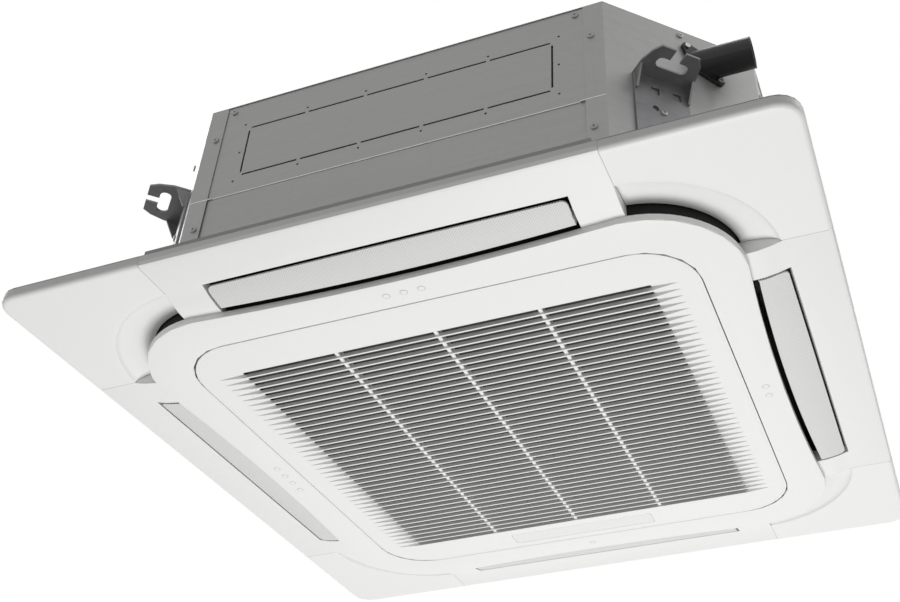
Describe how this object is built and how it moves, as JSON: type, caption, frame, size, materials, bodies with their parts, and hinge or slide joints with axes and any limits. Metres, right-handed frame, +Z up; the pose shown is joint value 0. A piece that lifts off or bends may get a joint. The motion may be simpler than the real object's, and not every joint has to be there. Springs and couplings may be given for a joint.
{
  "type": "ceiling cassette air conditioner",
  "caption": "Four-way ceiling cassette air conditioner: steel casing hung on rods above a square panel with vanes, corner covers and a hinged intake grille.",
  "frame": {"origin": "centre of the panel on the ceiling plane, where the panel's rim meets the ceiling", "axes": "+Z up into the ceiling space, +X to the right side and +Y to the far side, parallel to the panel's edges"},
  "size_m": [0.95, 0.95, 0.3165],
  "materials": {
    "panel_white": "satin",
    "vane_grey": "satin",
    "sheet_steel": "satin",
    "bracket_steel": "satin",
    "black_plastic": "satin",
    "foam_white": "matte",
    "foam_black": "matte",
    "coil_fins": "satin",
    "copper_pipe": "satin",
    "brass_nut": "satin",
    "fan_plastic": "satin",
    "motor_steel": "satin",
    "screw_steel": "satin",
    "board_green": "satin",
    "filter_net": "matte",
    "display_smoke": "gloss",
    "inner_white": "matte"
  },
  "bodies": {
    "unit": {"casing_top": "sheet_steel", "casing_side_right": "sheet_steel", "casing_side_far": "sheet_steel", "casing_side_left": "sheet_steel", "casing_side_near": "sheet_steel", "casing_corner_far_right": "sheet_steel", "casing_corner_far_left": "sheet_steel", "casing_corner_near_left": "sheet_steel", "casing_corner_near_right": "sheet_steel", "coil_end_plate_liquid": "sheet_steel", "coil_end_plate_gas": "sheet_steel", "control_box": "sheet_steel", "control_lid": "sheet_steel", "hanger_far_right": "bracket_steel", "hanger_far_left": "bracket_steel", "hanger_near_left": "bracket_steel", "hanger_near_right": "bracket_steel", "casing_liner": "foam_white", "drain_pan": "foam_black", "ceiling_seal": "foam_black", "coil": "coil_fins", "liquid_pipe": "copper_pipe", "gas_pipe": "copper_pipe", "liquid_flare_nut": "brass_nut", "gas_flare_nut": "brass_nut", "bellmouth": "black_plastic", "drain_riser": "black_plastic", "drain_outlet": "black_plastic", "fan_motor": "motor_steel", "drain_screw_upper": "screw_steel", "drain_screw_lower": "screw_steel", "panel_bolt_far_right": "screw_steel", "panel_bolt_far_left": "screw_steel", "panel_bolt_near_left": "screw_steel", "panel_bolt_near_right": "screw_steel", "hinge_pin_left": "screw_steel", "hinge_pin_right": "screw_steel", "drain_pump": "inner_white", "vane_motor_right": "inner_white", "vane_motor_far": "inner_white", "vane_motor_left": "inner_white", "vane_motor_near": "inner_white", "control_board": "board_green", "panel_frame": "panel_white", "corner_cover_far_right": "panel_white", "corner_cover_far_left": "panel_white", "corner_cover_near_left": "panel_white", "corner_cover_near_right": "panel_white"},
    "grille": {"grille_door": "panel_white", "display_window": "display_smoke", "display_board": "board_green", "air_filter": "filter_net"},
    "fan": {"turbo_fan": "fan_plastic", "fan_nut": "screw_steel", "motor_shaft": "screw_steel"},
    "float": {"drain_float": "inner_white"},
    "vane_right_body": {"vane_right": "vane_grey"},
    "vane_far_body": {"vane_far": "vane_grey"},
    "vane_left_body": {"vane_left": "vane_grey"},
    "vane_near_body": {"vane_near": "vane_grey"}
  },
  "joints": [
    {"name": "vane_right_swing", "type": "hinge", "parent": "unit", "child": "vane_right_body", "pos_m": [0.386, 0, -0.009], "axis": [0, 1, 0], "range_deg": [0, 50]},
    {"name": "vane_far_swing", "type": "hinge", "parent": "unit", "child": "vane_far_body", "pos_m": [0, 0.386, -0.009], "axis": [-1, 0, 0], "range_deg": [0, 50]},
    {"name": "vane_left_swing", "type": "hinge", "parent": "unit", "child": "vane_left_body", "pos_m": [-0.386, 0, -0.009], "axis": [0, -1, 0], "range_deg": [0, 50]},
    {"name": "vane_near_swing", "type": "hinge", "parent": "unit", "child": "vane_near_body", "pos_m": [0, -0.386, -0.009], "axis": [1, 0, 0], "range_deg": [0, 50]},
    {"name": "grille_swing", "type": "hinge", "parent": "unit", "child": "grille", "pos_m": [0, -0.312, -0.0265], "axis": [-1, 0, 0], "range_deg": [0, 45]},
    {"name": "fan_spin", "type": "hinge", "parent": "unit", "child": "fan", "pos_m": [0, 0, 0.19], "axis": [0, 0, 1], "continuous": true},
    {"name": "float_rise", "type": "slide", "parent": "unit", "child": "float", "axis": [0, 0, 1], "range_m": [0, 0.012]}
  ]
}
